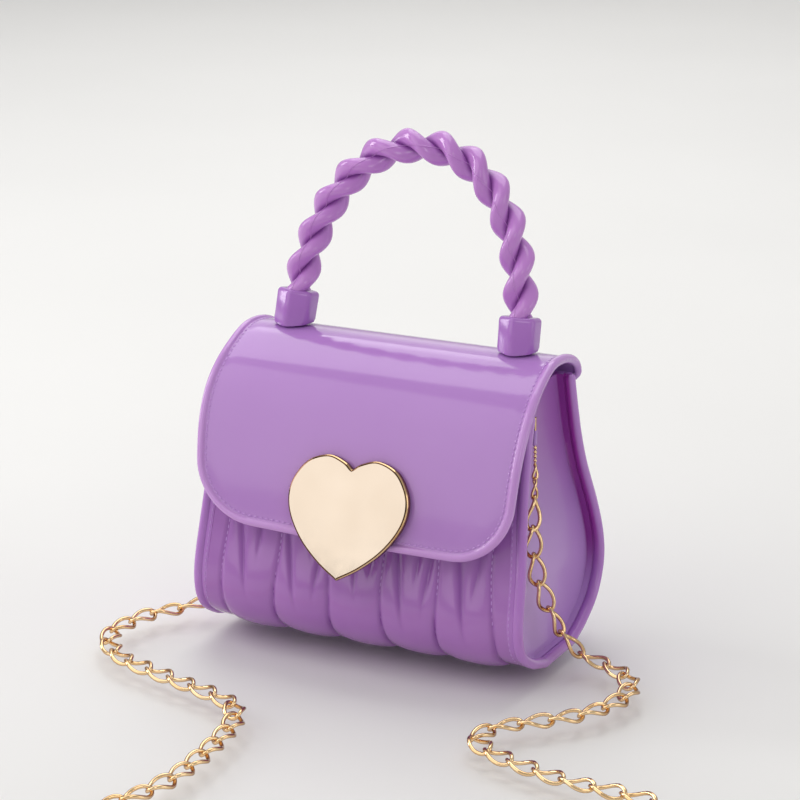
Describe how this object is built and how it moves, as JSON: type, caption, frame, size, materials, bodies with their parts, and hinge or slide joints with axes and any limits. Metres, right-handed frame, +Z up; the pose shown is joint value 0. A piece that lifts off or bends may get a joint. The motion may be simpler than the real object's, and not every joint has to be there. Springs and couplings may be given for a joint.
{
  "type": "square shoulder bag",
  "caption": "Small square shoulder bag of moulded soft plastic, with a hinged flap, twisted rope handle, heart plate, pleated front and chain strap.",
  "frame": {"origin": "middle of the flat base, on the surface that the bag stands on", "axes": "+Z up, -Y out of the front, +X to the right when the front is looked at"},
  "size_m": [0.2956, 0.2946, 0.211],
  "materials": {
    "lilac": "glossy",
    "lilac_pleat": "glossy",
    "lilac_gusset": "glossy",
    "lilac_piping": "glossy",
    "pale_gold": "polished",
    "chain_gold": "polished",
    "snap_metal": "satin"
  },
  "bodies": {
    "bag": {"front_panel": "lilac_pleat", "base_panel": "lilac", "back_panel": "lilac", "hinge_strip": "lilac", "gusset_left": "lilac_gusset", "gusset_right": "lilac_gusset", "edge_bead_left": "lilac_piping", "edge_bead_right": "lilac_piping", "snap_socket": "snap_metal", "snap_washer": "snap_metal", "strap_tab_left": "chain_gold", "strap_tab_right": "chain_gold", "strap_rivet_left": "chain_gold", "strap_rivet_right": "chain_gold", "strap_chain": "chain_gold"},
    "flap": {"flap_panel": "lilac", "flap_bead": "lilac_piping", "handle_rope": "lilac", "handle_collar_left": "lilac", "handle_collar_right": "lilac", "handle_washer_left": "snap_metal", "handle_washer_right": "snap_metal", "handle_screw_left": "snap_metal", "handle_screw_right": "snap_metal", "heart_plate": "pale_gold", "heart_post_left": "snap_metal", "heart_post_right": "snap_metal", "snap_stud": "snap_metal"}
  },
  "joints": [
    {"name": "flap_hinge", "type": "hinge", "parent": "bag", "child": "flap", "pos_m": [0, 0.023, 0.112], "axis": [-1, 0, 0], "range_deg": [0, 130]}
  ]
}
